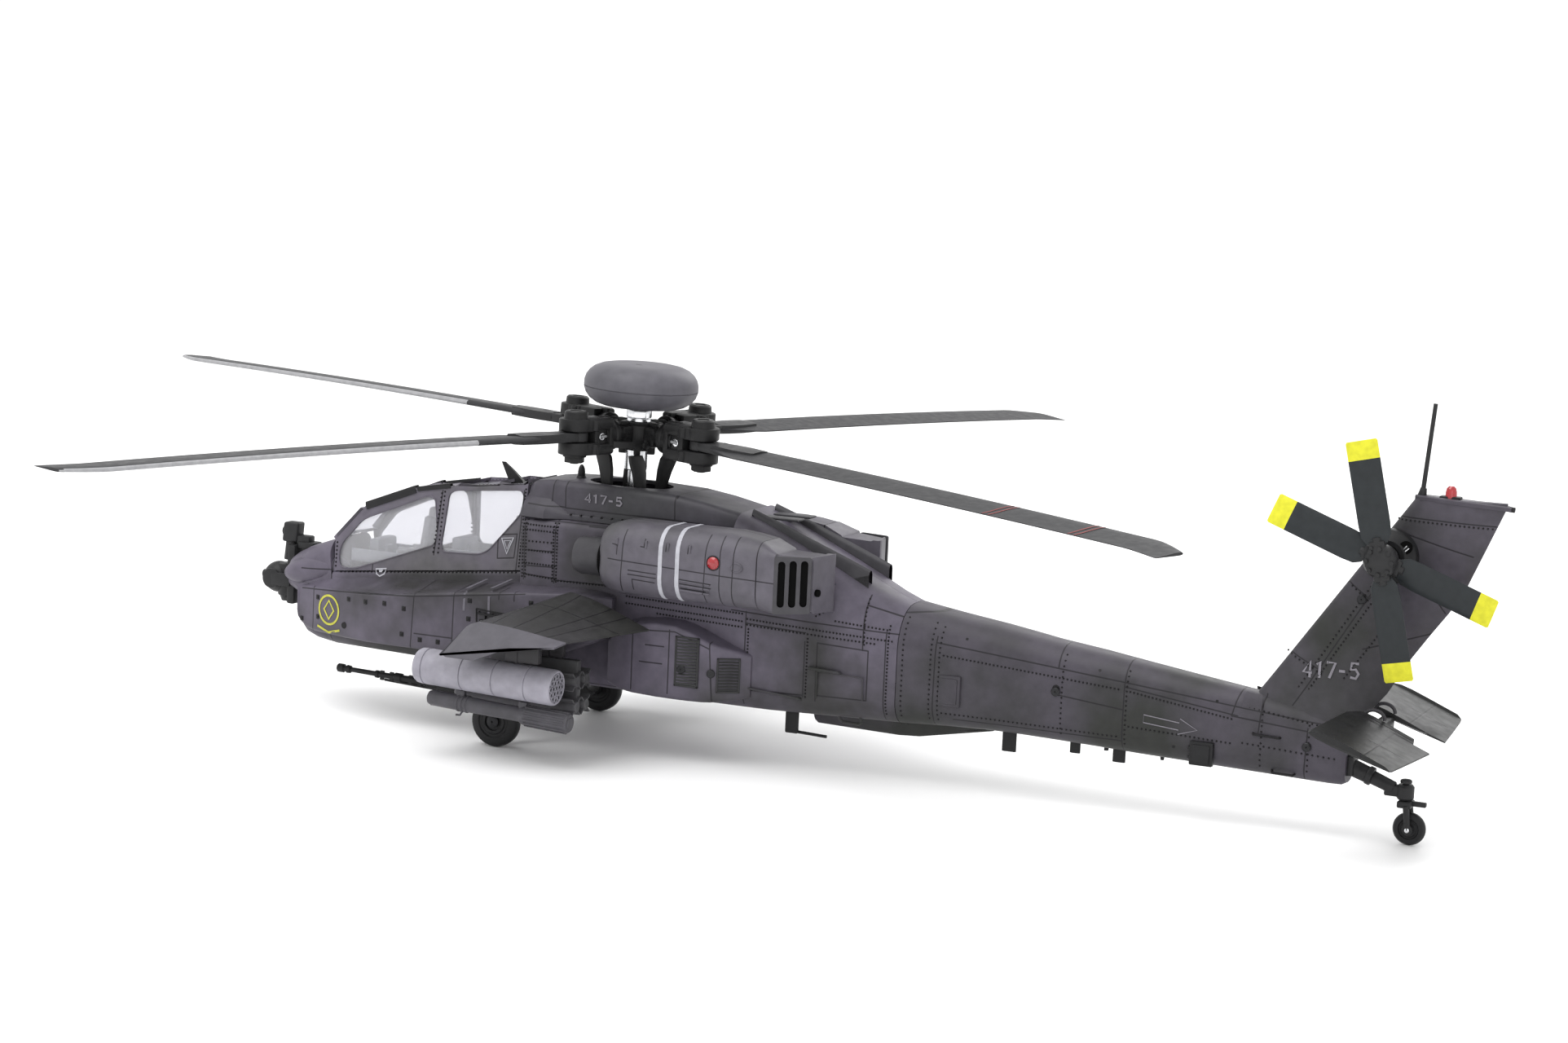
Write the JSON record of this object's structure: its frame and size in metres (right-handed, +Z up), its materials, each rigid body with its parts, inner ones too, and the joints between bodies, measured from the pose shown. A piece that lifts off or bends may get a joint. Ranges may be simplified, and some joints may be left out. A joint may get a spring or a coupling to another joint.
{
  "type": "remote control helicopter",
  "caption": "Remote control attack helicopter with folding main rotor, radar dome, tail rotor, stub wings with rocket pods and missiles, clear canopy, chain gun and wheeled landing gear.",
  "frame": {"origin": "centre of the bounding box at ground level, under the wheels", "axes": "+X towards the tail, nose towards -X, +Y to the aircraft's right side, +Z up"},
  "size_m": [0.5353, 0.4463, 0.1421],
  "materials": {
    "body_plastic": "satin",
    "black_plastic": "satin",
    "clear_pane": "clear",
    "cockpit_grey": "matt",
    "store_grey": "satin",
    "tyre_black": "matt",
    "frame_plastic": "matt",
    "bearing_steel": "polished",
    "cell_wrap": "gloss",
    "board_green": "satin",
    "motor_steel": "satin",
    "pinion_brass": "satin",
    "gear_nylon": "matt",
    "shaft_chrome": "polished",
    "servo_blue": "gloss",
    "horn_white": "matt",
    "swash_alloy": "satin",
    "blade_composite": "satin",
    "post_alloy": "polished",
    "dome_plastic": "satin",
    "red_lens": "gloss",
    "screw_steel": "satin"
  },
  "bodies": {
    "airframe": {"fuselage_left": "body_plastic", "fuselage_right": "body_plastic", "tail_boom_left": "body_plastic", "tail_boom_right": "body_plastic", "nose_sensor_turret": "black_plastic", "canopy_frame": "body_plastic", "canopy_glass": "clear_pane", "cockpit_tub": "cockpit_grey", "avionics_bay_left": "body_plastic", "avionics_bay_right": "body_plastic", "rotor_pylon_cover": "body_plastic", "engine_cowl_left": "body_plastic", "engine_cowl_right": "body_plastic", "exhaust_left": "body_plastic", "exhaust_right": "body_plastic", "stub_wing_left": "body_plastic", "stub_wing_right": "body_plastic", "rocket_pod_left": "store_grey", "rocket_pod_right": "store_grey", "missile_rack_left": "store_grey", "missile_rack_right": "store_grey", "chain_gun": "black_plastic", "gear_leg_left": "black_plastic", "gear_leg_right": "black_plastic", "tail_gear_arm": "black_plastic", "stabilator": "body_plastic", "chassis_frame": "frame_plastic", "shaft_bearings": "bearing_steel", "battery_pack": "cell_wrap", "circuit_board": "board_green", "main_motor": "motor_steel", "swash_servos": "servo_blue", "tail_motor": "motor_steel", "signal_lights": "red_lens", "rod_antenna": "black_plastic", "belly_fittings": "body_plastic", "body_screws": "screw_steel"},
    "main_rotor": {"main_gear": "gear_nylon", "main_shaft": "shaft_chrome", "rotor_hub": "black_plastic", "radome_post": "post_alloy", "radome": "dome_plastic"},
    "motor_gear": {"motor_pinion": "pinion_brass"},
    "swash_ring": {"swashplate_lower": "swash_alloy"},
    "swash_star": {"swashplate_upper": "swash_alloy", "pitch_links": "black_plastic"},
    "horns": {"servo_horns": "horn_white"},
    "left_wheel": {"main_wheel_left": "tyre_black"},
    "right_wheel": {"main_wheel_right": "tyre_black"},
    "swivel_fork": {"tail_fork": "black_plastic"},
    "rear_wheel": {"tail_wheel": "tyre_black"},
    "rear_rotor": {"tail_rotor": "black_plastic"},
    "grip_a": {"blade_grip_a": "black_plastic"},
    "blade_a": {"main_blade_a": "blade_composite"},
    "grip_b": {"blade_grip_b": "black_plastic"},
    "blade_b": {"main_blade_b": "blade_composite"},
    "grip_c": {"blade_grip_c": "black_plastic"},
    "blade_c": {"main_blade_c": "blade_composite"},
    "grip_d": {"blade_grip_d": "black_plastic"},
    "blade_d": {"main_blade_d": "blade_composite"}
  },
  "joints": [
    {"name": "main_rotor_spin", "type": "hinge", "parent": "airframe", "child": "main_rotor", "pos_m": [-0.0382, 0, 0.1089], "axis": [0.0366, 0, 0.9993], "continuous": true},
    {"name": "pinion_spin", "type": "hinge", "parent": "airframe", "child": "motor_gear", "pos_m": [-0.02077, 0, 0.06023], "axis": [0.0366, 0, 0.9993], "continuous": true},
    {"name": "collective_slide", "type": "slide", "parent": "airframe", "child": "swash_ring", "axis": [0.0366, 0, 0.9993], "range_m": [-0.0015, 0.0015]},
    {"name": "swash_star_slide", "type": "slide", "parent": "main_rotor", "child": "swash_star", "axis": [0.0366, 0, 0.9993], "range_m": [-0.0016, 0.0016]},
    {"name": "servo_horn_turn", "type": "hinge", "parent": "airframe", "child": "horns", "pos_m": [-0.06557, 0, 0.07188], "axis": [0, 1, 0], "range_deg": [-8, 8]},
    {"name": "grip_a_pitch", "type": "hinge", "parent": "main_rotor", "child": "grip_a", "pos_m": [-0.0382, 0, 0.1089], "axis": [0.3022, 0.9532, -0.0111], "range_deg": [-12, 12]},
    {"name": "blade_a_fold", "type": "hinge", "parent": "grip_a", "child": "blade_a", "pos_m": [-0.02889, 0.02936, 0.10856], "axis": [0.0699, -0.0106, 0.9975], "range_deg": [-45, 45]},
    {"name": "grip_b_pitch", "type": "hinge", "parent": "main_rotor", "child": "grip_b", "pos_m": [-0.0382, 0, 0.1089], "axis": [-0.9526, 0.3024, 0.0349], "range_deg": [-12, 12]},
    {"name": "blade_b_fold", "type": "hinge", "parent": "grip_b", "child": "blade_b", "pos_m": [-0.06754, 0.00931, 0.10998], "axis": [0.0472, 0.0333, 0.9983], "range_deg": [-45, 45]},
    {"name": "grip_c_pitch", "type": "hinge", "parent": "main_rotor", "child": "grip_c", "pos_m": [-0.0382, 0, 0.1089], "axis": [-0.3022, -0.9532, 0.0111], "range_deg": [-12, 12]},
    {"name": "blade_c_fold", "type": "hinge", "parent": "grip_c", "child": "blade_c", "pos_m": [-0.04751, -0.02936, 0.10924], "axis": [0.0034, 0.0106, 0.9999], "range_deg": [-45, 45]},
    {"name": "grip_d_pitch", "type": "hinge", "parent": "main_rotor", "child": "grip_d", "pos_m": [-0.0382, 0, 0.1089], "axis": [0.9526, -0.3024, -0.0349], "range_deg": [-12, 12]},
    {"name": "blade_d_fold", "type": "hinge", "parent": "grip_d", "child": "blade_d", "pos_m": [-0.00886, -0.00931, 0.10782], "axis": [0.0261, -0.0333, 0.9991], "range_deg": [-45, 45]},
    {"name": "left_wheel_roll", "type": "hinge", "parent": "airframe", "child": "left_wheel", "pos_m": [-0.0692, -0.039, 0.009], "axis": [0, 1, 0], "continuous": true},
    {"name": "right_wheel_roll", "type": "hinge", "parent": "airframe", "child": "right_wheel", "pos_m": [-0.0692, 0.039, 0.009], "axis": [0, 1, 0], "continuous": true},
    {"name": "tail_wheel_swivel", "type": "hinge", "parent": "airframe", "child": "swivel_fork", "pos_m": [0.2401, 0, 0.016], "axis": [0, 0, 1], "continuous": true},
    {"name": "tail_wheel_roll", "type": "hinge", "parent": "swivel_fork", "child": "rear_wheel", "pos_m": [0.2421, 0, 0.0054], "axis": [0, 1, 0], "continuous": true},
    {"name": "tail_rotor_spin", "type": "hinge", "parent": "airframe", "child": "rear_rotor", "pos_m": [0.2308, -0.0161, 0.0928], "axis": [0, 1, 0], "continuous": true}
  ],
  "couplings": [
    {"joint": "pinion_spin", "follows": "main_rotor_spin", "ratio": -5},
    {"joint": "swash_star_slide", "follows": "collective_slide", "ratio": 1},
    {"joint": "servo_horn_turn", "follows": "collective_slide", "rad_per_m": -83.333},
    {"joint": "grip_a_pitch", "follows": "collective_slide", "rad_per_m": 123.15},
    {"joint": "grip_b_pitch", "follows": "collective_slide", "rad_per_m": 123.15},
    {"joint": "grip_c_pitch", "follows": "collective_slide", "rad_per_m": 123.15},
    {"joint": "grip_d_pitch", "follows": "collective_slide", "rad_per_m": 123.15}
  ]
}
